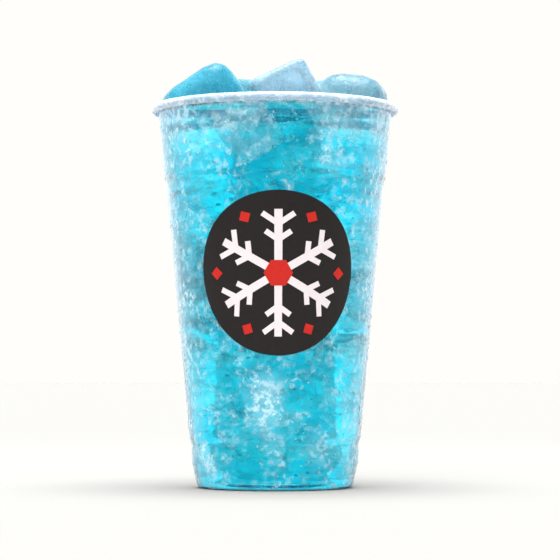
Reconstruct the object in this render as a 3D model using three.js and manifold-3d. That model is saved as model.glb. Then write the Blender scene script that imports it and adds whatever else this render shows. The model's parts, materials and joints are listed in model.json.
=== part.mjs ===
// A cup of iced energy drink: a clear cold cup for about 700 ml with a rolled rim, filled almost to the brim
// with a bright blue drink, and lumps of ice heaped up to 17 mm above the rim. Millimetres, +Z up, the origin
// in the middle of the foot. The front of the cup, which carries the round print, faces -Y.
import * as THREE from "three";
import { RoundedBoxGeometry } from "three/addons/geometries/RoundedBoxGeometry.js";
import { mergeVertices } from "three/addons/utils/BufferGeometryUtils.js";
import Module from "manifold-3d";

// The cup: its overall sizes, the wall's outside radius at each height where its slope changes, and how
// finely its round stretches are divided.
const cupHeight = 151;
const rimRadius = 49.2;
const wallThickness = 0.45;
const neckRadius = 46.3;
const upperStepHeight = 121.5;
const radiusAboveUpperStep = 43.9;
const radiusBelowUpperStep = 43.0;
const lowerStepHeight = 18.8;
const radiusAboveLowerStep = 33.8;
const radiusBelowLowerStep = 33.0;
const stepLength = 1.2;
const heelHeight = 4.0;
const heelRadius = 31.2;
const bandBottomHeight = 10.4;
const bandBottomRadius = 32.9;
const footOuterRadius = 28.6;
const footInnerRadius = 25.6;
const baseRise = 2.6;
const rimCurlRadius = (rimRadius - neckRadius + wallThickness) / 2;
const rimCurlTurn = THREE.MathUtils.degToRad(270);
const rimCurlSteps = 6;
const heelSteps = 4;
const turnSides = 56;

// The drink stands this far below the top of the rim.
const drinkBelowRim = 3.8;
const drinkLevel = cupHeight - drinkBelowRim;

// Higher than any lump of ice reaches.
const heapTop = cupHeight + 30;

// Free space between pieces that touch.
const gap = 0.3;

// The round print on the front: its radius along the wall, the height of its middle, how far it is turned to
// the right of the front, and its thickness.
const printRadius = 31.5;
const printHeight = 83;
const printTurn = THREE.MathUtils.degToRad(1.8);
const printThickness = 0.3;
const printRings = 5;
const printSides = 40;

// Each lump of ice: its middle, its size, its turn in degrees about X, Y and Z, and how round it has melted.
const lumps = [
  { name: "ice_left", middle: [-26.2, -9, 148.8], size: [32, 26, 30], turn: [8, -34, 6], round: 8 },
  { name: "ice_middle", middle: [4.3, -12, 151.3], size: [25, 24, 25], turn: [-6, -27, 10], round: 3.5 },
  { name: "ice_right", middle: [29.9, -7, 148.8], size: [28, 27, 28], turn: [4, 8, -14], round: 10 },
  { name: "ice_centre", middle: [-3.5, 12, 150.8], size: [24, 23, 23], turn: [12, 8, 38], round: 3.5 },
  { name: "ice_back_left", middle: [-20, 27, 148.2], size: [27, 25, 25], turn: [-14, 20, 24], round: 4 },
  { name: "ice_back_right", middle: [17, 26, 150.6], size: [26, 26, 25], turn: [18, -12, -20], round: 4 },
  { name: "ice_front_left", middle: [-9, -33.5, 137.5], size: [21, 13, 21], turn: [4, -32, 3], round: 3 },
  { name: "ice_front_right", middle: [23, -31, 142.5], size: [20, 12, 16], turn: [-4, -3, 30], round: 3.5 },
  { name: "ice_chip_right", middle: [37.5, 15, 146.8], size: [13, 16, 13], turn: [16, -18, 12], round: 3.2 },
  { name: "ice_chip_left", middle: [-38, 12.5, 146.4], size: [12, 15, 13], turn: [-10, 20, -14], round: 3 },
  { name: "ice_chip_back", middle: [-1.5, 38, 146.2], size: [13, 10, 13], turn: [10, 30, 8], round: 3 },
];
const lumpRoundSteps = 2;

const clearPlastic = new THREE.MeshStandardMaterial({
  color: 0xd9eef5,
  roughness: 0.08,
  metalness: 0,
  transparent: true,
  opacity: 0.35,
});
const blueDrink = new THREE.MeshStandardMaterial({ color: 0x19bdd8, roughness: 0.05, metalness: 0 });
const wetIce = new THREE.MeshStandardMaterial({ color: 0x8fd0e2, roughness: 0.12, metalness: 0 });
const blackInk = new THREE.MeshStandardMaterial({ color: 0x241f1e, roughness: 0.35, metalness: 0 });

const wasm = await Module();
wasm.setup();

function solidFrom(geometry) {
  const bare = geometry.clone();
  bare.deleteAttribute("normal");
  bare.deleteAttribute("uv");
  const merged = mergeVertices(bare, 1e-4);
  return new wasm.Manifold(
    new wasm.Mesh({
      numProp: 3,
      vertProperties: merged.attributes.position.array,
      triVerts: new Uint32Array(merged.index.array),
    }),
  );
}

function geometryFrom(solid) {
  const mesh = solid.getMesh();
  const geometry = new THREE.BufferGeometry();
  geometry.setAttribute("position", new THREE.BufferAttribute(new Float32Array(mesh.vertProperties), 3));
  geometry.setIndex(new THREE.BufferAttribute(new Uint32Array(mesh.triVerts), 1));
  const flat = geometry.toNonIndexed();
  flat.computeVertexNormals();
  return flat;
}

// Turns a closed outline of radius and height points into a solid that stands along +Z.
function turned(outline) {
  const geometry = new THREE.LatheGeometry(outline, turnSides);
  geometry.rotateX(Math.PI / 2);
  return geometry;
}

// The outside of the cup's wall, from the middle of the base to the neck under the rim.
function outsideOfWall() {
  const path = new THREE.Path();
  path.moveTo(0, baseRise);
  path.lineTo(footInnerRadius - baseRise, baseRise);
  path.lineTo(footInnerRadius, 0);
  path.lineTo(footOuterRadius, 0);
  path.quadraticCurveTo(heelRadius, 0, heelRadius, heelHeight);
  path.lineTo(bandBottomRadius, bandBottomHeight);
  path.lineTo(radiusBelowLowerStep, lowerStepHeight - stepLength / 2);
  path.lineTo(radiusAboveLowerStep, lowerStepHeight + stepLength / 2);
  path.lineTo(radiusBelowUpperStep, upperStepHeight - stepLength / 2);
  path.lineTo(radiusAboveUpperStep, upperStepHeight + stepLength / 2);
  path.lineTo(neckRadius, cupHeight - rimCurlRadius);
  return path.getPoints(heelSteps);
}

// Moves each point of a wall's profile into the cup by the same distance, square to the wall.
function insetProfile(profile, distance) {
  return profile.map((point, i) => {
    const before = profile[Math.max(i - 1, 0)];
    const after = profile[Math.min(i + 1, profile.length - 1)];
    const alongBefore = i > 0 ? point.clone().sub(before).normalize() : null;
    const alongAfter = i < profile.length - 1 ? after.clone().sub(point).normalize() : null;
    const a = alongBefore ?? alongAfter;
    const b = alongAfter ?? alongBefore;
    const inwardA = new THREE.Vector2(-a.y, a.x);
    const inwardB = new THREE.Vector2(-b.y, b.x);
    const inward = inwardA.clone().add(inwardB).normalize();
    const moved = point.clone().addScaledVector(inward, distance / inward.dot(inwardA));
    moved.x = Math.max(moved.x, 0);
    return moved;
  });
}

// The rim is the top of the wall rolled outwards and down, open underneath, as a cold cup's rim is.
function rimCurl(radius) {
  const middle = new THREE.Vector2(neckRadius - wallThickness + rimCurlRadius, cupHeight - rimCurlRadius);
  const points = [];
  for (let i = 0; i <= rimCurlSteps; i++) {
    const angle = Math.PI - (rimCurlTurn * i) / rimCurlSteps;
    points.push(new THREE.Vector2(middle.x + radius * Math.cos(angle), middle.y + radius * Math.sin(angle)));
  }
  return points;
}

function makeCup() {
  const outside = outsideOfWall();
  const inside = insetProfile(outside, wallThickness);
  const outline = [
    ...outside,
    ...rimCurl(rimCurlRadius - wallThickness).slice(1),
    ...rimCurl(rimCurlRadius).reverse(),
    ...inside.slice(0, -1).reverse(),
  ];
  return turned(outline);
}

// Everything inside the wall, which leaves the touching gap to it, up to a height. Above the upper step the
// side runs on at the slope that the wall has there.
function insideOfCup(top) {
  const side = insetProfile(outsideOfWall(), wallThickness + gap).slice(0, -1);
  const step = side[side.length - 1];
  const slope = (neckRadius - radiusAboveUpperStep) / (cupHeight - rimCurlRadius - upperStepHeight);
  const edge = new THREE.Vector2(step.x + (top - step.y) * slope, top);
  return solidFrom(turned([...side, edge, new THREE.Vector2(0, top)]));
}

function lumpTurn(lump) {
  return new THREE.Euler(...lump.turn.map(THREE.MathUtils.degToRad));
}

// A lump's share of the way to a neighbour, by how large each of them is.
function shareOfWay(lump, neighbour) {
  const reach = (each) => Math.cbrt(each.size[0] * each.size[1] * each.size[2]);
  return reach(lump) / (reach(lump) + reach(neighbour));
}

// A melted ice cube, grown by a distance on every side. Where neighbours meet, each is flat and stops short
// of the other by the gap.
function lumpSolid(lump, grown) {
  const [width, depth, height] = lump.size.map((length) => length + 2 * grown);
  const block = new RoundedBoxGeometry(width, depth, height, lumpRoundSteps, lump.round + grown);
  const place = new THREE.Matrix4().makeRotationFromEuler(lumpTurn(lump));
  place.setPosition(...lump.middle);
  block.applyMatrix4(place);
  let solid = solidFrom(block);
  const middle = new THREE.Vector3(...lump.middle);
  for (const neighbour of lumps) {
    if (neighbour === lump) continue;
    const way = new THREE.Vector3(...neighbour.middle).sub(middle);
    const meeting = middle.clone().addScaledVector(way, shareOfWay(lump, neighbour));
    const inward = way.clone().normalize().negate();
    const limit = inward.dot(meeting) + gap / 2 - grown;
    solid = solid.trimByPlane([inward.x, inward.y, inward.z], limit);
  }
  return solid;
}

function makeLump(lump) {
  return geometryFrom(lumpSolid(lump, 0).intersect(insideOfCup(heapTop)));
}

function makeDrink() {
  let drink = insideOfCup(drinkLevel);
  for (const lump of lumps) {
    drink = drink.subtract(lumpSolid(lump, gap));
  }
  const pieces = drink.decompose().sort((a, b) => b.volume() - a.volume());
  return geometryFrom(pieces[0]);
}

// A round patch of ink on the front of the wall, which follows the wall's cone.
function makePrint() {
  const slope = Math.atan2(
    radiusBelowUpperStep - radiusAboveLowerStep,
    upperStepHeight - lowerStepHeight - stepLength,
  );
  const wallRadius = (height) => radiusAboveLowerStep + (height - lowerStepHeight) * Math.tan(slope);
  const onWall = (across, up, away) => {
    const height = printHeight + up * Math.cos(slope) - away * Math.sin(slope);
    const radius = wallRadius(printHeight + up * Math.cos(slope)) + away * Math.cos(slope);
    const angle = printTurn + across / wallRadius(printHeight);
    return [radius * Math.sin(angle), -radius * Math.cos(angle), height];
  };
  const positions = [];
  const faces = [];
  const ringStart = (layer, ring) => layer * (1 + printRings * printSides) + 1 + (ring - 1) * printSides;
  for (const away of [gap + printThickness, gap]) {
    positions.push(...onWall(0, 0, away));
    for (let ring = 1; ring <= printRings; ring++) {
      for (let i = 0; i < printSides; i++) {
        const angle = (2 * Math.PI * i) / printSides;
        const reach = (printRadius * ring) / printRings;
        positions.push(...onWall(reach * Math.cos(angle), reach * Math.sin(angle), away));
      }
    }
  }
  const addFace = (a, b, c, flip) => faces.push(...(flip ? [a, c, b] : [a, b, c]));
  for (let layer = 0; layer < 2; layer++) {
    const flip = layer === 1;
    const centre = layer * (1 + printRings * printSides);
    for (let i = 0; i < printSides; i++) {
      const next = (i + 1) % printSides;
      addFace(centre, ringStart(layer, 1) + i, ringStart(layer, 1) + next, flip);
      for (let ring = 1; ring < printRings; ring++) {
        const inner = ringStart(layer, ring);
        const outer = ringStart(layer, ring + 1);
        addFace(inner + i, outer + i, outer + next, flip);
        addFace(inner + i, outer + next, inner + next, flip);
      }
    }
  }
  const front = ringStart(0, printRings);
  const back = ringStart(1, printRings);
  for (let i = 0; i < printSides; i++) {
    const next = (i + 1) % printSides;
    addFace(front + i, back + i, back + next, false);
    addFace(front + i, back + next, front + next, false);
  }
  const geometry = new THREE.BufferGeometry();
  geometry.setAttribute("position", new THREE.Float32BufferAttribute(positions, 3));
  geometry.setIndex(faces);
  const flat = geometry.toNonIndexed();
  flat.computeVertexNormals();
  return flat;
}

const cupOfEnergyDrink = new THREE.Group();

function addPiece(name, geometry, material) {
  const mesh = new THREE.Mesh(geometry, material);
  mesh.name = name;
  cupOfEnergyDrink.add(mesh);
}

addPiece("cup", makeCup(), clearPlastic);
addPiece("drink", makeDrink(), blueDrink);
addPiece("print", makePrint(), blackInk);
for (const lump of lumps) {
  addPiece(lump.name, makeLump(lump), wetIce);
}

export default cupOfEnergyDrink;
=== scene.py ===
import json
import math
import random

import bpy
import numpy as np
from mathutils import Euler, Matrix, Vector
from mathutils.bvhtree import BVHTree

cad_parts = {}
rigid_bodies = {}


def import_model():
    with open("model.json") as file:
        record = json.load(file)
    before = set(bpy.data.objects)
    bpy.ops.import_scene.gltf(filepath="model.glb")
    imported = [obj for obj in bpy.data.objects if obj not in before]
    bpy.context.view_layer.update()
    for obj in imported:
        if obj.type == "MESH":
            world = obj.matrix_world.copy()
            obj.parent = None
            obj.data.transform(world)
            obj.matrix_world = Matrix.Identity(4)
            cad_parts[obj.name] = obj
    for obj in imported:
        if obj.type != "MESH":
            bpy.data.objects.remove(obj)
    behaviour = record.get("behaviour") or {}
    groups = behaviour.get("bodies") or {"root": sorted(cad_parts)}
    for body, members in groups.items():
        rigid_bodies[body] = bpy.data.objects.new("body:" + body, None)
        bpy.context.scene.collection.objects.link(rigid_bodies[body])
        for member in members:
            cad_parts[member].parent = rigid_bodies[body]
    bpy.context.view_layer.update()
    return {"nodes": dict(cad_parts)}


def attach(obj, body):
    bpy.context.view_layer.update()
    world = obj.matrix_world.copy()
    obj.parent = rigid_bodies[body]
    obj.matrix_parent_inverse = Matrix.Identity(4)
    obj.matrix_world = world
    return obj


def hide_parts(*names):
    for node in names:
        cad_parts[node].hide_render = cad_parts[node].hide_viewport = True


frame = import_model()

# The photograph's view. A long lens looks at the cup from 0.89 m in front of its axis and from less than a
# third of its height, so it looks up at the rim and down on the foot. Pixels are of the 560 x 560 image.
mm = 0.001
image_side_px = 560
focal_length_px = 2247.5
cup_axis_column_px = 275
horizon_row_px = 373.2
eye_distance = 890 * mm
eye_height = 45 * mm
sensor_side_mm = 36


def seen_at(column, row, depth):
    """The point, in metres, that shows at this pixel of the photograph, depth behind the cup's axis."""
    away = eye_distance + depth
    across = (column - cup_axis_column_px) / focal_length_px * away
    return Vector((across, depth, eye_height + (horizon_row_px - row) / focal_length_px * away))


def deselected():
    """Leaves nothing selected, so that the next operator acts on its own piece alone."""
    if bpy.context.object and bpy.context.object.mode != "OBJECT":
        bpy.ops.object.mode_set(mode="OBJECT")
    bpy.ops.object.select_all(action="DESELECT")


deselected()
bpy.ops.object.camera_add(location=(0, -eye_distance, eye_height))
camera = bpy.context.object
camera.name = "photograph_view"
camera.data.sensor_width = sensor_side_mm
camera.data.lens = sensor_side_mm * focal_length_px / image_side_px
camera.data.clip_start = 0.05
camera.data.clip_end = 20
image_centre = seen_at(image_side_px / 2, image_side_px / 2, 0)
camera.rotation_euler = (image_centre - camera.location).to_track_quat("-Z", "Y").to_euler()
bpy.context.scene.camera = camera

# The studio: a sheet of warm white paper and big soft lights all round, as for a packshot. The paper is lit
# until it is as bright as the background, so that the cup stands on white with only its own soft shadow.
paper_white = "#fffefa"
paper_front = 0.37
paper_width = 8
paper_depth = 9


def linear(hex_colour):
    """An sRGB hex colour as the four linear numbers that a shader takes."""
    parts = [int(hex_colour[i : i + 2], 16) / 255 for i in (1, 3, 5)]
    return (*[p / 12.92 if p <= 0.04045 else ((p + 0.055) / 1.055) ** 2.4 for p in parts], 1)


def add_node(tree, kind, settings=None, **links):
    """Adds a shader node. Settings are its properties. Each link names an input, or its number after an i,
    and gives it a value or a socket."""
    node = tree.nodes.new(kind)
    for key, value in (settings or {}).items():
        setattr(node, key, value)
    for key, value in links.items():
        place = int(key[1:]) if key[0] == "i" and key[1:].isdigit() else key.replace("_", " ")
        if isinstance(value, bpy.types.NodeSocket):
            tree.links.new(value, node.inputs[place])
        else:
            node.inputs[place].default_value = value
    return node


def new_material(name):
    """An empty material with its output node: (material, node tree, output)."""
    material = bpy.data.materials.new(name)
    material.use_nodes = True
    material.node_tree.nodes.clear()
    output = material.node_tree.nodes.new("ShaderNodeOutputMaterial")
    return material, material.node_tree, output


def panel_light(name, azimuth, distance, width, height, bottom, radiance):
    """A softbox that stands at this azimuth, in degrees from the cup's front towards its right, facing it."""
    turn = math.radians(azimuth)
    place = Vector((distance * math.sin(turn), -distance * math.cos(turn), bottom + height / 2))
    deselected()
    bpy.ops.object.light_add(type="AREA", location=place)
    light = bpy.context.object
    light.name = name
    light.data.shape = "RECTANGLE"
    light.data.size = width
    light.data.size_y = height
    light.data.energy = radiance * math.pi * width * height
    light.rotation_euler = Vector((-place.x, -place.y, 0)).to_track_quat("-Z", "Z").to_euler()
    return light


# Two softboxes behind the cup light its sides.
panel_light("softbox_back_left", -136, 0.5, 0.38, 0.6, 0.01, 0.65)
panel_light("softbox_back_right", 136, 0.5, 0.38, 0.6, 0.01, 0.6)

# Light that reaches the cup from the room: pale all round, brightest straight behind the cup, with a strong
# light overhead and a soft key high in front.
world = bpy.data.worlds.new("packshot_studio")
bpy.context.scene.world = world
world.use_nodes = True
tree = world.node_tree
tree.nodes.clear()
direction = add_node(tree, "ShaderNodeTexCoord").outputs["Generated"]
parts = add_node(tree, "ShaderNodeSeparateXYZ", Vector=direction)
behind = add_node(
    tree, "ShaderNodeMapRange", {"interpolation_type": "SMOOTHSTEP"},
    Value=parts.outputs["Y"], From_Min=0.75, From_Max=1.0, To_Min=0.72, To_Max=1.06,
)
overhead = add_node(
    tree, "ShaderNodeMapRange", {"interpolation_type": "SMOOTHSTEP"},
    Value=parts.outputs["Z"], From_Min=0.86, From_Max=0.96, To_Min=0.0, To_Max=15.0,
)
key_elevation = math.radians(42)
towards_key = add_node(
    tree, "ShaderNodeVectorMath", {"operation": "DOT_PRODUCT"},
    i0=direction, i1=(-0.25, -math.cos(key_elevation), math.sin(key_elevation)),
)
key = add_node(
    tree, "ShaderNodeMapRange", {"interpolation_type": "SMOOTHSTEP"},
    Value=towards_key.outputs["Value"], From_Min=0.9, From_Max=0.97, To_Min=0.0, To_Max=3.0,
)
brightest = {"operation": "MAXIMUM"}
lights = add_node(tree, "ShaderNodeMath", brightest, i0=overhead.outputs[0], i1=key.outputs[0])
studio = add_node(tree, "ShaderNodeMath", brightest, i0=behind.outputs[0], i1=lights.outputs[0])
walls = add_node(tree, "ShaderNodeBackground", None, Color=linear("#fbfdff"), Strength=studio.outputs[0])
seen = add_node(tree, "ShaderNodeBackground", None, Color=linear(paper_white), Strength=1.0)
straight = add_node(tree, "ShaderNodeLightPath").outputs["Is Camera Ray"]
mix = add_node(tree, "ShaderNodeMixShader", None, i0=straight, i1=walls.outputs[0], i2=seen.outputs[0])
output = tree.nodes.new("ShaderNodeOutputWorld")
tree.links.new(mix.outputs[0], output.inputs["Surface"])

scene = bpy.context.scene
scene.view_settings.view_transform = "Standard"
scene.cycles.max_bounces = 80
scene.cycles.transmission_bounces = 72
scene.cycles.diffuse_bounces = 10
scene.cycles.glossy_bounces = 10
scene.cycles.transparent_max_bounces = 16

deselected()
bpy.ops.mesh.primitive_plane_add(size=1, location=(0, paper_depth / 2 - paper_front, -0.00005))
paper = bpy.context.object
paper.name = "studio_paper"
paper.scale = (paper_width, paper_depth, 1)
bpy.ops.object.transform_apply(location=True, rotation=True, scale=True)
# The paper is matt and warm white, and takes only the cup's soft shadow.
material, tree, output = new_material("matt white studio paper")
where = add_node(tree, "ShaderNodeTexCoord").outputs["Object"]
fibres = add_node(tree, "ShaderNodeTexNoise", None, Vector=where, Scale=400, Detail=3)
shade = add_node(tree, "ShaderNodeMapRange", None, Value=fibres.outputs["Fac"], To_Min=0.296, To_Max=0.304)
tint = add_node(
    tree, "ShaderNodeMix", {"data_type": "RGBA", "blend_type": "MULTIPLY"},
    Factor=1.0, i6=linear("#fffcf6"), i7=shade.outputs[0],
)
shader = add_node(
    tree, "ShaderNodeBsdfPrincipled", None, Base_Color=tint.outputs[2], Roughness=0.9, Specular_IOR_Level=0.1
)
tree.links.new(shader.outputs[0], output.inputs["Surface"])
paper.data.materials.append(material)

# The cup is one sheet of clear PET, thermoformed into a deep tapered cup with two stacking steps, a raised
# base and a rim that is rolled outwards. It is thin, glossy and nearly colourless, and cold drink has misted
# it outside. Its white share grows where the wall is seen at a slant, partly a painted sheen, and some white
# patches on it are painted highlights.
cup_height = 151
rim_radius = 49.2
wall_thickness = 0.45
neck_radius = 46.3
upper_step_height = 121.5
radius_above_upper_step = 43.9
radius_below_upper_step = 43.0
lower_step_height = 18.8
radius_above_lower_step = 33.8
radius_below_lower_step = 33.0
step_length = 2.2
heel_height = 4.0
heel_radius = 31.2
band_bottom_height = 10.4
band_bottom_radius = 32.9
foot_outer_radius = 28.6
foot_inner_radius = 25.6
base_rise = 2.6
rim_curl_radius = (rim_radius - neck_radius + wall_thickness) / 2
neck_height = cup_height - rim_curl_radius
rim_roll = math.radians(270)
sides_round_cup = 128
drink_below_rim = 3.8
drink_level = cup_height - drink_below_rim


def rounded(corners, steps=4):
    """A path through corners of (radius, height, how far the corner is cut), each rounded by a curve."""
    points = [Vector(corners[0][:2])]
    for before, corner, after in zip(corners, corners[1:], corners[2:]):
        middle = Vector(corner[:2])
        back = Vector(before[:2]) - middle
        on = Vector(after[:2]) - middle
        start = middle + back.normalized() * min(corner[2], back.length * 0.49)
        end = middle + on.normalized() * min(corner[2], on.length * 0.49)
        for i in range(steps + 1):
            t = i / steps
            points.append(start * (1 - t) ** 2 + middle * 2 * t * (1 - t) + end * t**2)
    points.append(Vector(corners[-1][:2]))
    return points


outside = rounded(
    [
        (0, base_rise, 0),
        (foot_inner_radius - base_rise, base_rise, 1.2),
        (foot_inner_radius, 0.0, 0.9),
        (foot_outer_radius, 0.0, 1.0),
        (heel_radius - 0.1, 0.9, 2.4),
        (heel_radius + 0.2, heel_height, 0.9),
        (band_bottom_radius, band_bottom_height, 0.8),
        (radius_below_lower_step, lower_step_height - step_length / 2, 0.7),
        (radius_above_lower_step, lower_step_height + step_length / 2, 0.7),
        (radius_below_upper_step, upper_step_height - step_length / 2, 0.7),
        (radius_above_upper_step, upper_step_height + step_length / 2, 0.7),
        (neck_radius, neck_height, 0),
    ]
)


def inset(path, distance):
    """The path moved into the cup by distance, square to the wall."""
    moved = []
    for i, point in enumerate(path):
        along = path[min(i + 1, len(path) - 1)] - path[max(i - 1, 0)]
        inward = Vector((-along.y, along.x)).normalized()
        moved.append(Vector((max(point.x + inward.x * distance, 0), point.y + inward.y * distance)))
    moved[0].x = 0
    return moved


def rim_arc(radius, steps=20):
    """The rolled rim, from the neck over the top and down outside."""
    middle = Vector((neck_radius - wall_thickness + rim_curl_radius, neck_height))
    turn = [math.pi - rim_roll * i / steps for i in range(steps + 1)]
    return [middle + radius * Vector((math.cos(a), math.sin(a))) for a in turn]


def spun(name, outline, sides=sides_round_cup):
    """Turns an outline of (radius, height) in mm, from axis to axis, into a closed piece."""
    deselected()
    bpy.ops.mesh.primitive_plane_add(size=mm)
    piece = bpy.context.object
    piece.name = name
    bpy.ops.object.mode_set(mode="EDIT")
    bpy.ops.mesh.merge(type="CENTER")
    bpy.ops.transform.translate(value=(outline[0].x * mm, 0, outline[0].y * mm))
    for before, point in zip(outline, outline[1:]):
        step = ((point.x - before.x) * mm, 0, (point.y - before.y) * mm)
        bpy.ops.mesh.extrude_vertices_move(TRANSFORM_OT_translate={"value": step})
    bpy.ops.mesh.select_all(action="SELECT")
    bpy.ops.mesh.spin(steps=sides, angle=math.tau, center=(0, 0, 0), axis=(0, 0, 1))
    bpy.ops.mesh.select_all(action="SELECT")
    bpy.ops.mesh.remove_doubles(threshold=0.00001)
    bpy.ops.mesh.normals_make_consistent(inside=False)
    bpy.ops.object.mode_set(mode="OBJECT")
    bpy.ops.object.transform_apply(location=True, rotation=True, scale=True)
    bpy.ops.object.shade_smooth_by_angle(angle=math.radians(50))
    return piece


cup = spun(
    "clear_cup",
    [
        *outside,
        *rim_arc(rim_curl_radius - wall_thickness)[1:],
        *reversed(rim_arc(rim_curl_radius)),
        *reversed(inset(outside, wall_thickness)[:-1]),
    ],
)


# The outline's first points are the raised base and the foot; the wall is the rest.
points_of_base = 20
wall_heights = [point.y for point in outside[points_of_base:]]
wall_radii = [point.x for point in outside[points_of_base:]]


def wall_outside(height):
    """The outside radius of the wall at a height, in mm."""
    return float(np.interp(height, wall_heights, wall_radii))


def wall_inside(height):
    """The inside radius of the wall at a height, in mm."""
    return wall_outside(height) - wall_thickness


def on_front_wall(column, row, behind_wall):
    """The point, in mm, that shows at this pixel of the photograph, this far in from the wall's inside."""
    depth = -0.8 * radius_above_lower_step * mm
    for _ in range(4):
        point = seen_at(column, row, depth)
        room = wall_inside(point.z / mm) * mm - behind_wall * mm
        depth = -math.sqrt(max(room**2 - point.x**2, 0))
    return Vector(seen_at(column, row, depth)) / mm


# Patches of white on the outside of the wall: column, row, half the width in pixels, and how thick. They are
# frost and painted highlights: the brightest lie where highlights show on the wall, and several under the rim
# lighten dark bands there. Where the thickness is below 0 a drop has run down and left the wall clear.
frost_and_highlight_patches = [
    (266, 392, 30, 0.95),
    (262, 420, 22, 0.7),
    (274, 444, 16, 0.45),
    (318, 449, 28, 0.4),
    (345, 400, 22, 0.36),
    (204, 447, 11, 1.0),
    (211, 468, 18, 0.9),
    (190, 424, 14, 0.45),
    (352, 470, 18, 0.4),
    (336, 116, 40, 0.5),
    (380, 120, 36, 0.8),
    (222, 116, 30, 0.6),
    (250, 108, 24, 0.5),
    (178, 116, 36, 0.8),
    (206, 140, 30, 0.3),
    (262, 150, 24, 0.5),
    (330, 162, 30, 0.4),
    (186, 150, 30, 0.22),
    (376, 170, 34, 0.26),
    (190, 300, 34, 0.22),
    (364, 290, 30, 0.18),
    (292, 122, 26, -0.7),
    (268, 162, 26, -0.7),
    (312, 182, 30, -0.5),
    (214, 196, 22, -0.4),
    (222, 372, 26, -0.5),
    (210, 432, 14, -0.6),
    (302, 400, 22, -0.4),
    (246, 466, 20, -0.4),
    (296, 468, 16, -0.3),
]
# The outside of the wall: glossy and clear where it is wiped, and white and soft where fine droplets lie on
# it, in flecks and in patches, some of them painted highlights, and all over where the wall is seen at a
# slant, which is partly a painted sheen.
material, tree, output = new_material("thermoformed clear PET with a mist of condensation")
where = add_node(tree, "ShaderNodeTexCoord").outputs["Object"]
mist_patch_mm = 9
mist_bead_mm = 2.9
patches = add_node(tree, "ShaderNodeTexNoise", None, Vector=where, Scale=1 / (mist_patch_mm * mm), Detail=3)
beads = add_node(
    tree, "ShaderNodeTexNoise", None, Vector=where, Scale=1 / (mist_bead_mm * mm), Detail=4, Roughness=0.66
)
thin = add_node(
    tree, "ShaderNodeMapRange", None,
    Value=patches.outputs["Fac"], From_Min=0.36, From_Max=0.68, To_Min=0.0, To_Max=0.4,
)
# Painted highlights: the patches add white frost at given points of the wall.
frost_and_highlights = 0.0
for column, row, half_width, thickness in frost_and_highlight_patches:
    middle = on_front_wall(column, row, -wall_thickness)
    reach = half_width / focal_length_px * (eye_distance + middle.y * mm)
    apart = add_node(tree, "ShaderNodeVectorMath", {"operation": "DISTANCE"}, i0=where, i1=middle * mm)
    patch = add_node(
        tree, "ShaderNodeMapRange", {"interpolation_type": "SMOOTHSTEP"},
        Value=apart.outputs["Value"], From_Min=reach, From_Max=0.0, To_Min=0.0, To_Max=thickness,
    )
    frost_and_highlights = add_node(tree, "ShaderNodeMath", {"operation": "ADD"}, i0=frost_and_highlights, i1=patch.outputs[0]).outputs[0]
# Partly a painted sheen: the wall's white share grows where it is seen at a slant.
slant = add_node(tree, "ShaderNodeLayerWeight", None, Blend=0.5)
slant_mist_and_painted_sheen = add_node(
    tree, "ShaderNodeMapRange", {"interpolation_type": "SMOOTHSTEP"},
    Value=slant.outputs["Facing"], From_Min=0.25, From_Max=0.8, To_Min=0.0, To_Max=0.5,
)
frost_and_highlights = add_node(tree, "ShaderNodeMath", {"operation": "ADD"}, i0=frost_and_highlights, i1=slant_mist_and_painted_sheen.outputs[0]).outputs[0]
speckle = add_node(
    tree, "ShaderNodeMapRange", {"interpolation_type": "SMOOTHSTEP"},
    Value=beads.outputs["Fac"], From_Min=0.44, From_Max=0.68, To_Min=0.0, To_Max=1.6,
)
soft_speckle = add_node(tree, "ShaderNodeMapRange", None, Value=speckle.outputs[0], To_Min=0.35, To_Max=0.9)
mist = add_node(tree, "ShaderNodeMath", {"operation": "MULTIPLY"}, i0=thin.outputs[0], i1=speckle.outputs[0])
frost_and_highlights = add_node(tree, "ShaderNodeMath", {"operation": "MULTIPLY"}, i0=frost_and_highlights, i1=soft_speckle.outputs[0])
mist = add_node(tree, "ShaderNodeMath", {"operation": "ADD"}, i0=mist.outputs[0], i1=frost_and_highlights.outputs[0])
height = add_node(tree, "ShaderNodeSeparateXYZ", None, Vector=where).outputs["Z"]
rim_mist = add_node(
    tree, "ShaderNodeMapRange", None,
    Value=height, From_Min=(neck_height - 3) * mm, From_Max=neck_height * mm, To_Min=0.0, To_Max=0.28,
)
mist = add_node(tree, "ShaderNodeMath", {"operation": "ADD"}, i0=mist.outputs[0], i1=rim_mist.outputs[0])
mist = mist.outputs[0]
clear_share = add_node(tree, "ShaderNodeMapRange", None, Value=mist, To_Min=1.0, To_Max=0.0)
tone = add_node(
    tree, "ShaderNodeMapRange", None,
    Value=height, From_Min=(neck_height - 4) * mm, From_Max=(neck_height - 2) * mm,
)
mist_colour = add_node(
    tree, "ShaderNodeMix", {"data_type": "RGBA"},
    Factor=tone.outputs[0], i6=linear("#c8ecfa"), i7=linear("#e4f1fa"),
)
roughness = add_node(tree, "ShaderNodeMapRange", None, Value=mist, To_Min=0.03, To_Max=0.4)
uneven = add_node(tree, "ShaderNodeMapRange", None, Value=tone.outputs[0], To_Min=0.2, To_Max=0.03)
relief = add_node(
    tree, "ShaderNodeBump", None, Strength=uneven.outputs[0], Distance=0.12 * mm, Height=beads.outputs["Fac"]
)
shader = add_node(
    tree, "ShaderNodeBsdfPrincipled", None,
    Base_Color=mist_colour.outputs[2], Roughness=roughness.outputs[0], Normal=relief.outputs[0], IOR=1.38,
    Transmission_Weight=clear_share.outputs[0], Specular_Tint=(0.25, 0.25, 0.25, 1),
    Sheen_Weight=0.3, Sheen_Roughness=0.45, Sheen_Tint=linear("#d8e6f8"),
)
tree.links.new(shader.outputs[0], output.inputs["Surface"])
cup.data.materials.append(material)


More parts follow.
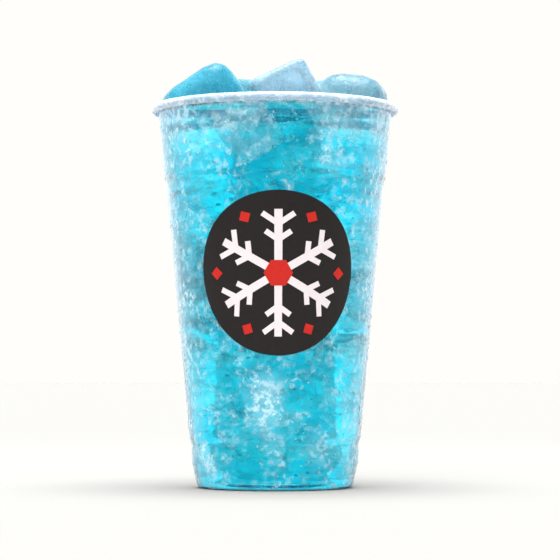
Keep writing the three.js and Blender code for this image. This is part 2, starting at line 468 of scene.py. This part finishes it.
def bare_pet(name, ior):
    """The smooth, unmisted inside of the wall, clear and glossy."""
    material, tree, output = new_material(name)
    where = add_node(tree, "ShaderNodeTexCoord").outputs["Object"]
    haze = add_node(tree, "ShaderNodeTexNoise", None, Vector=where, Scale=1 / (20 * mm))
    roughness = add_node(tree, "ShaderNodeMapRange", None, Value=haze.outputs["Fac"], To_Min=0.0, To_Max=0.03)
    shader = add_node(
        tree, "ShaderNodeBsdfPrincipled", None,
        Base_Color=linear("#fafdff"), Roughness=roughness.outputs[0], IOR=ior, Transmission_Weight=1,
    )
    tree.links.new(shader.outputs[0], output.inputs["Surface"])
    return material


# Light bends where it enters the wall from air, and hardly where drink or wet ice lies against the wall.
no_step = 1.001
cup.data.materials.append(bare_pet("clear PET inside the cup", 1.38))
cup.data.materials.append(bare_pet("clear PET with drink behind it", no_step))
for polygon in cup.data.polygons:
    # As the wall tapers, its inside faces a little upwards.
    height = polygon.center.z / mm
    if polygon.normal.z > 0 and height < neck_height - 1:
        polygon.material_index = 2 if height < drink_level else 1
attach(cup, "root")
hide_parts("cup")

# The heap of ice: cubes and broken pieces that stand out of the drink. Each takes the form of its solid,
# rounded and pitted by melting, clear at the skin and clouded inside, and wet with the blue drink.
ice_nodes = sorted(name for name in frame["nodes"] if name.startswith("ice_"))


def only(piece):
    """Selects this piece alone and makes it the active one."""
    deselected()
    piece.select_set(True)
    bpy.context.view_layer.objects.active = piece


def apply_modifier(piece, kind, **settings):
    """Adds a modifier with these settings and applies it."""
    only(piece)
    modifier = piece.modifiers.new(kind.lower(), kind)
    for key, value in settings.items():
        setattr(modifier, key, value)
    bpy.ops.object.modifier_apply(modifier=modifier.name)


def melted(node):
    """A copy of an ice solid with the soft, pitted surface of melting ice."""
    solid = frame["nodes"][node]
    piece = bpy.data.objects.new(node.replace("ice_", "melting_ice_"), solid.data.copy())
    bpy.context.scene.collection.objects.link(piece)
    only(piece)
    bpy.ops.object.mode_set(mode="EDIT")
    bpy.ops.mesh.select_all(action="SELECT")
    bpy.ops.mesh.remove_doubles(threshold=0.00001)
    bpy.ops.object.mode_set(mode="OBJECT")
    piece.data.materials.clear()
    apply_modifier(piece, "REMESH", mode="VOXEL", voxel_size=0.7 * mm)
    apply_modifier(piece, "SMOOTH", factor=0.5, iterations=2)
    for texture, depth_mm in ((hollows, 0.8), (pits, 0.15)):
        apply_modifier(
            piece, "DISPLACE", texture=texture, texture_coords="GLOBAL",
            strength=depth_mm * mm, mid_level=0.85,
        )
    apply_modifier(piece, "SMOOTH", factor=0.5, iterations=1)
    only(piece)
    bpy.ops.object.shade_smooth()
    return piece


hollows = bpy.data.textures.new("melted_hollows", "CLOUDS")
hollows.noise_scale = 9 * mm
pits = bpy.data.textures.new("melted_pits", "CLOUDS")
pits.noise_scale = 2.4 * mm


def cloudy_ice(
    name, clear, clouded, least, most, ior, cloud_mm, crack_mm, roughest=0.3, pitted=0.5, wet_foot=0, rare=0.0
):
    """Ice that runs from clear to clouded in patches, with a finer mottle of small cracks and bubbles. Least
    and most are the shares of its surface that are clouded, and rare makes the patches fewer. Just over the
    drink the ice is wet and clear, and clouds within wet_foot mm."""
    material, tree, output = new_material(name)
    where = add_node(tree, "ShaderNodeTexCoord").outputs["Object"]
    clouds = add_node(tree, "ShaderNodeTexNoise", None, Vector=where, Scale=1 / (cloud_mm * mm), Detail=2)
    cracks = add_node(
        tree, "ShaderNodeTexNoise", None, Vector=where, Scale=1 / (crack_mm * mm), Detail=3, Roughness=0.6
    )
    both = add_node(
        tree, "ShaderNodeMath", {"operation": "ADD"}, i0=clouds.outputs["Fac"], i1=cracks.outputs["Fac"]
    )
    cloud = add_node(
        tree, "ShaderNodeMapRange", None, Value=both.outputs[0], From_Min=0.82 + rare, From_Max=1.18 + rare
    )
    through = add_node(
        tree, "ShaderNodeMapRange", None, Value=cloud.outputs[0], To_Min=1 - least, To_Max=1 - most
    )
    share = through.outputs[0]
    if wet_foot:
        height = add_node(tree, "ShaderNodeSeparateXYZ", None, Vector=where).outputs["Z"]
        wet = add_node(
            tree, "ShaderNodeMapRange", None,
            Value=height, From_Min=drink_level * mm, From_Max=(drink_level + wet_foot) * mm,
            To_Min=1.0, To_Max=0.0,
        )
        clearest = add_node(tree, "ShaderNodeMath", {"operation": "MAXIMUM"}, i0=share, i1=wet.outputs[0])
        share = clearest.outputs[0]
    colour = add_node(
        tree, "ShaderNodeMix", {"data_type": "RGBA"}, Factor=share, i6=linear(clouded), i7=linear(clear)
    )
    rough = add_node(
        tree, "ShaderNodeMapRange", None,
        Value=cracks.outputs["Fac"], From_Min=0.3, From_Max=0.7, To_Min=0.1 * roughest, To_Max=roughest,
    )
    shader = add_node(
        tree, "ShaderNodeBsdfPrincipled", None,
        Base_Color=colour.outputs[2], Roughness=rough.outputs[0], IOR=ior,
        Transmission_Weight=share, Specular_Tint=(0.5, 0.5, 0.5, 1),
    )
    if pitted:
        relief = add_node(
            tree, "ShaderNodeBump", None, Strength=pitted, Distance=0.3 * mm, Height=cracks.outputs["Fac"]
        )
        tree.links.new(relief.outputs[0], shader.inputs["Normal"])
    tree.links.new(shader.outputs[0], output.inputs["Surface"])
    return material


def heap_ice(name, clear, clouded):
    """Ice that stands out of the drink: glossy and wet, its clear and clouded colours those of the photo."""
    return cloudy_ice(
        name, clear, clouded, least=0.26, most=0.44, ior=1.31, cloud_mm=9.0, crack_mm=3.0,
        roughest=0.5, pitted=0.12, wet_foot=4,
    )


def ice_under_level(name, clear, clouded, least, most, cloud_mm, crack_mm, rare=0.0):
    """Ice in the drink, which light passes almost straight into, so only its clouds and its paleness show."""
    return cloudy_ice(
        name, clear, clouded, least, most, no_step, cloud_mm, crack_mm, roughest=0, pitted=0, rare=rare
    )


teal_wet_ice = heap_ice("wet ice low in the heap", "#9cdcea", "#34b0c8")
ice_of_lump = {
    "ice_left": heap_ice("wet ice soaked with blue drink", "#64cce0", "#14a4c4"),
    "ice_middle": heap_ice("wet clouded ice", "#cfe4f0", "#98c6de"),
    "ice_right": heap_ice("wet ice, a little clouded", "#a2cbd8", "#5fa4ba"),
}
ice_in_drink = ice_under_level("clear sunk ice", "#fdffff", "#eefaff", 0.0, 0.4, 9.0, 2.6, 0.24)
faintly_milky_ice = ice_under_level("faintly milky sunk ice", "#ffffff", "#effcff", 0.01, 0.12, 7.0, 2.2)
milky_ice_in_drink = ice_under_level("milky sunk ice", "#ffffff", "#effcff", 0.06, 0.34, 7.0, 2.2)
# White ice laid where the print shades the drink: cracked ice and a painted lift.
white_ice_lifting_print_shade = ice_under_level("white, cracked sunk ice", "#ffffff", "#f2fcff", 0.12, 0.42, 7.0, 2.2)
heap = []
for node in ice_nodes:
    lump = melted(node)
    lump.data.materials.append(ice_of_lump.get(node, teal_wet_ice))
    lump.data.materials.append(milky_ice_in_drink if node.startswith("ice_front") else ice_in_drink)
    for polygon in lump.data.polygons:
        polygon.material_index = int(polygon.center.z < drink_level * mm)
    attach(lump, "root")
    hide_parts(node)
    heap.append(lump)

# The ice that is wholly sunk: a few whole cubes near the top, broken cubes below, and crushed ice between
# them down to the foot, pressed flat where it meets the wall. It is clear ice, frosted where it has cracked.
ice_draw = random.Random(24)
print_radius = 31.5
print_middle_height = 83
clear_of_wall = 1.2
clear_of_level = 0.5
clear_of_base = base_rise + wall_thickness + 0.5


def broken_piece(name, cuts, bevel):
    """A piece of broken ice about 2 across: a cube cut by slanting planes, its edges softened."""
    deselected()
    bpy.ops.mesh.primitive_cube_add(size=2)
    piece = bpy.context.object
    piece.name = name
    bpy.ops.object.mode_set(mode="EDIT")
    for _ in range(cuts):
        slant = Vector([ice_draw.gauss(0, 1) for _ in range(3)]).normalized()
        bpy.ops.mesh.select_all(action="SELECT")
        bpy.ops.mesh.bisect(
            plane_co=slant * ice_draw.uniform(0.72, 1.05),
            plane_no=slant,
            use_fill=True,
            clear_outer=True,
        )
    bpy.ops.mesh.select_all(action="SELECT")
    if bevel:
        bpy.ops.mesh.bevel(offset=bevel, segments=1)
    bpy.ops.mesh.select_all(action="SELECT")
    bpy.ops.mesh.quads_convert_to_tris()
    bpy.ops.object.mode_set(mode="OBJECT")
    return piece


def arrays_of(piece):
    """A piece's points and triangles as arrays."""
    mesh = piece.data
    points = np.empty(len(mesh.vertices) * 3, np.float32)
    mesh.vertices.foreach_get("co", points)
    triangles = np.array([list(polygon.vertices) for polygon in mesh.polygons])
    return points.reshape(-1, 3), triangles


def placed_mesh(name, models, places):
    """One mesh of copies of the models. Each place is (model number, 4x4 matrix in mm)."""
    points, triangles, count = [], [], 0
    for which, matrix in places:
        shape, faces = models[which]
        turn = np.array(matrix)
        points.append(shape @ turn[:3, :3].T + turn[:3, 3])
        triangles.append(faces + count)
        count += len(shape)
    mesh = bpy.data.meshes.new(name)
    mesh.from_pydata((np.concatenate(points) * mm).tolist(), [], np.concatenate(triangles).tolist())
    mesh.update()
    return bpy.data.objects.new(name, mesh)


def united(name, models, places):
    """One solid made of many pieces of ice that may cross each other."""
    loose = bpy.data.collections.new("loose_ice")
    bpy.context.scene.collection.children.link(loose)
    for place in places[1:]:
        loose.objects.link(placed_mesh("loose_ice", models, [place]))
    piece = placed_mesh(name, models, places[:1])
    bpy.context.scene.collection.objects.link(piece)
    apply_modifier(
        piece, "BOOLEAN", operation="UNION", operand_type="COLLECTION", collection=loose, solver="MANIFOLD"
    )
    for each in list(loose.objects):
        bpy.data.objects.remove(each)
    bpy.data.collections.remove(loose)
    return piece


heap_points, heap_faces, heap_count = [], [], 0
for lump in heap:
    lump_points = np.empty(len(lump.data.vertices) * 3, np.float32)
    lump.data.vertices.foreach_get("co", lump_points)
    heap_points.extend((lump_points.reshape(-1, 3) / mm).tolist())
    heap_faces.extend([[v + heap_count for v in polygon.vertices] for polygon in lump.data.polygons])
    heap_count = len(heap_points)
heap_tree = BVHTree.FromPolygons(heap_points, heap_faces)


def clear_of_heap(middle, radius):
    """Whether a ball at middle keeps out of the lumps of ice in the heap."""
    near, normal, _, distance = heap_tree.find_nearest(middle)
    if (Vector(middle) - near).dot(normal) < 0:
        return False
    return distance > radius


settled = []


def room_for(middle, radius, closeness):
    """Whether a piece fits beside those already settled. Closeness under 1 lets their corners interlock."""
    for other, other_radius in settled:
        if (middle - other).length < (radius + other_radius) * closeness:
            return False
    return True


def settle(count, smallest, largest, lowest, highest, from_wall, closeness, tries=40):
    """Finds places for this many pieces: their half sizes run from smallest to largest, and they lie no
    further from the wall than from_wall."""
    places = []
    for _ in range(count * tries):
        if len(places) == count:
            break
        radius = smallest + (largest - smallest) * ice_draw.random() ** 1.6
        bottom = max(lowest, clear_of_base + radius * 0.8)
        top = min(highest, drink_level - clear_of_level - radius * 0.8)
        height = ice_draw.uniform(bottom, top)
        room = wall_inside(height) - clear_of_wall - radius * 0.72
        inner = max(room - from_wall, 0)
        reach = math.sqrt(ice_draw.uniform(inner**2, room**2))
        angle = ice_draw.uniform(0, math.tau)
        middle = Vector((reach * math.cos(angle), reach * math.sin(angle), height))
        if not room_for(middle, radius, closeness) or not clear_of_heap(middle, radius * 0.9):
            continue
        settled.append((middle, radius))
        places.append((middle, radius))
    return places


def turned_places(found, choice, flatness=0.75):
    """Gives each place a model, a random turn and uneven proportions."""
    places = []
    for middle, radius in found:
        turn = Euler([ice_draw.uniform(0, math.tau) for _ in range(3)]).to_matrix().to_4x4()
        size = Matrix.Diagonal([radius * ice_draw.uniform(flatness, 1) for _ in range(3)] + [1])
        places.append((ice_draw.choice(choice), Matrix.Translation(middle) @ turn @ size))
    return places


# Whole cubes that show through the wall: column, row, depth behind the wall, width, depth, height and turn.
seen_cubes = [
    (327, 161, 8.5, 20, 12, 12.5, (4, -5, 16)),
    (214, 215, 12, 19, 15, 17, (10, 24, -20)),
    (333, 232, 13, 17, 15, 19, (-8, 18, 24)),
    (318, 395, 10, 15, 12, 18, (6, -12, 18)),
    (225, 385, 11, 16, 12, 15, (-6, 30, -12)),
    (300, 446, 9, 20, 12, 11, (5, 8, 6)),
]
cube_models = [arrays_of(broken_piece(f"cube_model_{i}", 2 + i, 0.12)) for i in range(4)]
shard_models = [arrays_of(broken_piece(f"shard_model_{i}", 5 + i % 4, 0.07)) for i in range(8)]
for piece in [each for each in bpy.data.objects if "_model_" in each.name]:
    bpy.data.objects.remove(piece)

all_models = cube_models + shard_models
cube_places = []
for i, (column, row, behind_wall, width, depth, height, turn) in enumerate(seen_cubes):
    middle = on_front_wall(column, row, behind_wall)
    settled.append((middle, (width + depth + height) / 6))
    turned = Euler([math.radians(angle) for angle in turn]).to_matrix().to_4x4()
    size = Matrix.Diagonal((width / 2, depth / 2, height / 2, 1))
    cube_places.append((i % 2, Matrix.Translation(middle) @ turned @ size))
cubes, shards = range(4), range(4, 12)
anywhere = 40
cube_places += turned_places(settle(26, 8.0, 11.5, 20, 140, anywhere, 0.84), cubes, 0.85)
chunk_places = turned_places(settle(80, 4.5, 7.5, 4, 144, anywhere, 0.84), shards)
crushed_places = turned_places(settle(240, 1.8, 4.0, 3, 146, 14, 0.8), shards)
crushed_places += turned_places(settle(150, 1.6, 3.4, 118, 146, 12, 0.8), shards)
crushed_places += turned_places(settle(110, 1.6, 3.6, 138, 146.5, 9, 0.74), shards)

ice_ceiling = drink_level - clear_of_level
room_outline = [point for point in inset(outside, wall_thickness + clear_of_wall) if point.y < ice_ceiling]
room_outline.append(Vector((wall_inside(ice_ceiling) - clear_of_wall, ice_ceiling)))
room_for_ice = spun("room_for_ice", [*room_outline, Vector((0, ice_ceiling))], 96)
sunk_ice = united("sunk_ice", all_models, cube_places + chunk_places + crushed_places)
apply_modifier(sunk_ice, "BOOLEAN", operation="INTERSECT", object=room_for_ice, solver="MANIFOLD")
bpy.data.objects.remove(room_for_ice)

# The drink: a clear, bright blue liquid that fills the cup round the ice. It reaches just into the wall, so
# that no air shows between them, and creeps a little up the wall. Its colour comes from its depth alone.
reach_into_wall = 0.2
reach_into_ice = 0.12
reach_into_drink = 0.06
# Sunk ice is faintly milky from the first depth behind the axis on, and whitest from the second on.
front_ice_depth = 6
back_ice_depth = 10
creep_up_wall = 0.7
creep_width = 2.2

side = [point for point in inset(outside, wall_thickness - reach_into_wall) if point.y < drink_level - 1]
slope = (neck_radius - radius_above_upper_step) / (neck_height - upper_step_height)
edge_radius = side[-1].x + (drink_level + creep_up_wall - side[-1].y) * slope
creep = [
    Vector((edge_radius - creep_width * t, drink_level + creep_up_wall * (1 - t) ** 2))
    for t in (0, 0.25, 0.5, 0.75, 1)
]
drink = spun("blue_drink", [*side, *creep, Vector((0, drink_level))])

copies = []
for lump in heap:
    only(lump)
    bpy.ops.object.duplicate()
    copies.append(bpy.context.object)
deselected()
for each in copies:
    each.select_set(True)
bpy.context.view_layer.objects.active = copies[0]
bpy.ops.object.join()
pockets = bpy.context.object
apply_modifier(pockets, "DISPLACE", strength=-reach_into_ice * mm, mid_level=0)
apply_modifier(drink, "BOOLEAN", operation="DIFFERENCE", object=pockets, solver="MANIFOLD")
apply_modifier(drink, "BOOLEAN", operation="DIFFERENCE", object=sunk_ice, solver="MANIFOLD")
apply_modifier(sunk_ice, "DISPLACE", strength=reach_into_drink * mm, mid_level=0)
only(sunk_ice)
bpy.ops.object.shade_flat()
sunk_ice.data.materials.clear()
sunk_ice.data.materials.append(ice_in_drink)
sunk_ice.data.materials.append(faintly_milky_ice)
sunk_ice.data.materials.append(milky_ice_in_drink)
sunk_ice.data.materials.append(white_ice_lifting_print_shade)
# Ice scatters light the whiter the more it has cracked. The whitest lies at the back, at the height of the
# print, where it half hides the print's inner face from behind; there, and as the milky ice behind the
# print's face, it lightens the shade that the print casts into the drink, a painted lift.
for polygon in sunk_ice.data.polygons:
    across, depth, height = polygon.center / mm
    if depth > back_ice_depth and abs(height - print_middle_height) < print_radius - 4:
        polygon.material_index = 3
    elif depth > front_ice_depth:
        polygon.material_index = 1
    elif math.hypot(across, height - print_middle_height) < print_radius - 3:
        polygon.material_index = 2
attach(sunk_ice, "root")
bpy.data.objects.remove(pockets)
only(drink)
bpy.ops.object.shade_smooth_by_angle(angle=math.radians(50))

# How much light bends at each face of the drink: fully at the open top, hardly where it meets wall or ice.
drink_to_air = 1.333
drink_to_ice = 1.003
bends = drink.data.attributes.new("light_bends_by", "FLOAT", "FACE")
for polygon, bend in zip(drink.data.polygons, bends.data):
    middle = polygon.center / mm
    across = math.hypot(middle.x, middle.y)
    if polygon.normal.z > 0.3 and middle.z > drink_level - 0.05:
        bend.value = drink_to_air
    elif across > wall_inside(middle.z) or middle.z < clear_of_base - 0.3:
        bend.value = no_step
    else:
        bend.value = drink_to_ice
        polygon.use_smooth = False

# The drink has no colour of its own at its skin: light turns blue on its way through it.
material, tree, output = new_material("bright blue energy drink")
bend = add_node(tree, "ShaderNodeAttribute", {"attribute_name": "light_bends_by"}).outputs["Fac"]
shader = add_node(
    tree, "ShaderNodeBsdfPrincipled", None,
    Base_Color=linear("#ffffff"), Roughness=0.0, IOR=bend, Transmission_Weight=1,
)
depth = add_node(tree, "ShaderNodeVolumeAbsorption", None, Color=linear("#00f6f9"), Density=95.0)
tree.links.new(shader.outputs[0], output.inputs["Surface"])
tree.links.new(depth.outputs[0], output.inputs["Volume"])
drink.data.materials.clear()
drink.data.materials.append(material)
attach(drink, "root")
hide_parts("drink")

# The round print on the front: thin, satin screen inks on the wall, a charcoal disc that carries an
# off-white six-armed ice crystal, with a red middle and red lozenges between its arms.
print_turn = math.radians(1.8)
ink_thickness = 0.08
straight_height = upper_step_height - lower_step_height - step_length
wall_slope = math.atan((radius_below_upper_step - radius_above_lower_step) / straight_height)


def printed_on_wall(piece, layer):
    """Lays a flat drawing, in mm on the XY plane, on the cup's wall, as the given layer of ink."""
    only(piece)
    bpy.ops.object.mode_set(mode="EDIT")
    strip = 2.0
    for i in range(1, int(2 * print_radius / strip)):
        bpy.ops.mesh.select_all(action="SELECT")
        bpy.ops.mesh.bisect(plane_co=(i * strip - print_radius, 0, 0), plane_no=(1, 0, 0))
    bpy.ops.object.mode_set(mode="OBJECT")
    middle_radius = radius_above_lower_step + (print_middle_height - lower_step_height) * math.tan(wall_slope)
    away = (layer + 0.5) * ink_thickness
    for vertex in piece.data.vertices:
        across, up, out = vertex.co
        height = print_middle_height + up * math.cos(wall_slope)
        radius = radius_above_lower_step + (height - lower_step_height) * math.tan(wall_slope) + away + out
        angle = print_turn + across / middle_radius
        vertex.co = Vector((radius * math.sin(angle), -radius * math.cos(angle), height)) * mm
    only(piece)
    bpy.ops.object.shade_smooth_by_angle(angle=math.radians(30))


def flat_bar(middle, length, width, angle):
    """A straight bar of ink."""
    bpy.ops.mesh.primitive_plane_add(size=1)
    bar = bpy.context.object
    bar.scale = (length, width, 1)
    bar.rotation_euler = (0, 0, angle)
    bar.location = (*middle, 0)
    bpy.ops.object.transform_apply(location=True, rotation=True, scale=True)
    return bar


def flat_shape(middle, radius, corners, angle=0.0):
    """A regular shape of ink with this many corners."""
    bpy.ops.mesh.primitive_circle_add(vertices=corners, radius=radius, fill_type="NGON")
    shape = bpy.context.object
    shape.rotation_euler = (0, 0, angle)
    shape.location = (*middle, 0)
    bpy.ops.object.transform_apply(location=True, rotation=True, scale=True)
    return shape


def one_drawing(name, shapes):
    """Gives flat shapes the thickness of the ink and unites them, so that crossing bars are one film."""
    for shape in shapes:
        apply_modifier(shape, "SOLIDIFY", thickness=ink_thickness, offset=0)
    drawing = shapes[0]
    drawing.name = name
    for shape in shapes[1:]:
        apply_modifier(drawing, "BOOLEAN", operation="UNION", object=shape, solver="MANIFOLD")
        bpy.data.objects.remove(shape)
    return drawing


def ink(name, colour, speck):
    """Satin ink, a little uneven in tone and gloss as screen printing leaves it."""
    material, tree, output = new_material(name)
    where = add_node(tree, "ShaderNodeTexCoord").outputs["Object"]
    grain = add_node(tree, "ShaderNodeTexNoise", None, Vector=where, Scale=1 / (1.5 * mm), Detail=3)
    colours = add_node(
        tree, "ShaderNodeMix", {"data_type": "RGBA"},
        Factor=grain.outputs["Fac"], i6=linear(colour), i7=linear(speck),
    )
    gloss = add_node(tree, "ShaderNodeMapRange", None, Value=grain.outputs["Fac"], To_Min=0.28, To_Max=0.42)
    shader = add_node(
        tree, "ShaderNodeBsdfPrincipled", None,
        Base_Color=colours.outputs[2], Roughness=gloss.outputs[0], Specular_IOR_Level=0.25,
    )
    tree.links.new(shader.outputs[0], output.inputs["Surface"])
    return material


def on_circle(radius, angle):
    """The point at this angle on a circle round the drawing's middle."""
    return (radius * math.cos(angle), radius * math.sin(angle))


deselected()
disc = one_drawing("print_charcoal_disc", [flat_shape((0, 0), print_radius, 96)])
arms, lozenges = [], []
between_arms = math.radians(30)
for k in range(6):
    arm = math.radians(90 + 60 * k)
    arms.append(flat_bar(on_circle(14.4, arm), 19.6, 3.0, arm))
    for reach, length in ((12.6, 6.4), (18.6, 7.8)):
        for lean in (-1, 1):
            branch = arm + lean * math.radians(55)
            root = Vector(on_circle(reach, arm)) + Vector(on_circle(length / 2 - 0.6, branch))
            arms.append(flat_bar(root, length, 2.1, branch))
    lozenges.append(flat_shape(on_circle(24.6, arm + between_arms), 2.5, 4, arm + between_arms))
crystal = one_drawing("print_white_crystal", arms)
reds = one_drawing("print_red_lozenges", [flat_shape((0, 0), 5.6, 6, between_arms), *lozenges])
inks = [
    (disc, 0, ink("charcoal screen ink", "#1a1514", "#221d1c"), "print_black", True),
    (crystal, 1, ink("off-white screen ink", "#f4e9e9", "#eadfe0"), "print_white", False),
    (reds, 2, ink("red screen ink", "#d4291c", "#c4231a"), "print_red", False),
]
for drawing, layer, material, slot, stands_for_print in inks:
    printed_on_wall(drawing, layer)
    drawing.data.materials.clear()
    drawing.data.materials.append(material)
    if stands_for_print:
        # The first layer is white, so that the inks stay bright; it shows through the cup from behind.
        drawing.data.materials.append(ink("white screen ink laid first", "#f2f2f0", "#e8eae8"))
        for polygon in drawing.data.polygons:
            polygon.material_index = int(polygon.normal.dot(Vector((*polygon.center.xy, 0))) < 0)
    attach(drawing, "root")
    if stands_for_print:
        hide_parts("print")

# The condensation: beads of water on the outside of the cold wall, small and close together, with a few
# larger ones where they have run into each other.
bead_draw = random.Random(7)


def water_bead():
    """A low dome of water, 1 in radius, with its rim a little under the surface that it sits on."""
    deselected()
    bpy.ops.mesh.primitive_uv_sphere_add(segments=8, ring_count=5, radius=1)
    bead = bpy.context.object
    bpy.ops.object.mode_set(mode="EDIT")
    bpy.ops.mesh.select_all(action="SELECT")
    bpy.ops.mesh.bisect(plane_co=(0, 0, -0.1), plane_no=(0, 0, -1), clear_outer=True, use_fill=True)
    bpy.ops.mesh.select_all(action="SELECT")
    bpy.ops.mesh.quads_convert_to_tris()
    bpy.ops.object.mode_set(mode="OBJECT")
    return bead


bead = water_bead()
bead_points, bead_faces = arrays_of(bead)
bpy.data.objects.remove(bead)
bead_count = 2600
smallest_bead = 0.16
bead_growth = 0.4
bead_flatness = 0.45
lowest_bead = 5
bare_round_print = 2
points, triangles = [], []
for i in range(bead_count):
    height = bead_draw.uniform(lowest_bead, neck_height - 2)
    angle = bead_draw.uniform(0, math.tau)
    radius = wall_outside(height)
    from_print_middle = ((angle + 1.5 * math.pi - print_turn) % math.tau - math.pi) * radius
    if math.hypot(height - print_middle_height, from_print_middle) < print_radius + bare_round_print:
        continue
    size = smallest_bead + bead_growth * bead_draw.random() ** 4
    lean = math.atan(wall_outside(height + 1) - radius)
    out = Vector((math.cos(angle) * math.cos(lean), math.sin(angle) * math.cos(lean), -math.sin(lean)))
    place = Vector((math.cos(angle) * radius, math.sin(angle) * radius, height))
    turn = out.to_track_quat("Z", "Y").to_matrix()
    shape = bead_points * np.array([size, size * bead_draw.uniform(1, 1.25), size * bead_flatness])
    points.append(shape @ np.array(turn).T + np.array(place))
    triangles.append(bead_faces + (len(points) - 1) * len(bead_points))
mesh = bpy.data.meshes.new("condensation")
mesh.from_pydata((np.concatenate(points) * mm).tolist(), [], np.concatenate(triangles).tolist())
mesh.update()
condensation = bpy.data.objects.new("condensation", mesh)
bpy.context.scene.collection.objects.link(condensation)
only(condensation)
bpy.ops.object.shade_smooth()
# The beads are bright little lenses, a little milky because they are finer than they are drawn.
material, tree, output = new_material("condensed water")
where = add_node(tree, "ShaderNodeTexCoord").outputs["Object"]
film = add_node(tree, "ShaderNodeTexNoise", None, Vector=where, Scale=1 / (3 * mm))
gloss = add_node(tree, "ShaderNodeMapRange", None, Value=film.outputs["Fac"], To_Min=0.0, To_Max=0.06)
shader = add_node(
    tree, "ShaderNodeBsdfPrincipled", None,
    Base_Color=linear("#cdf2ff"), Roughness=gloss.outputs[0], IOR=1.33, Transmission_Weight=0.7,
)
tree.links.new(shader.outputs[0], output.inputs["Surface"])
condensation.data.materials.append(material)
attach(condensation, "root")
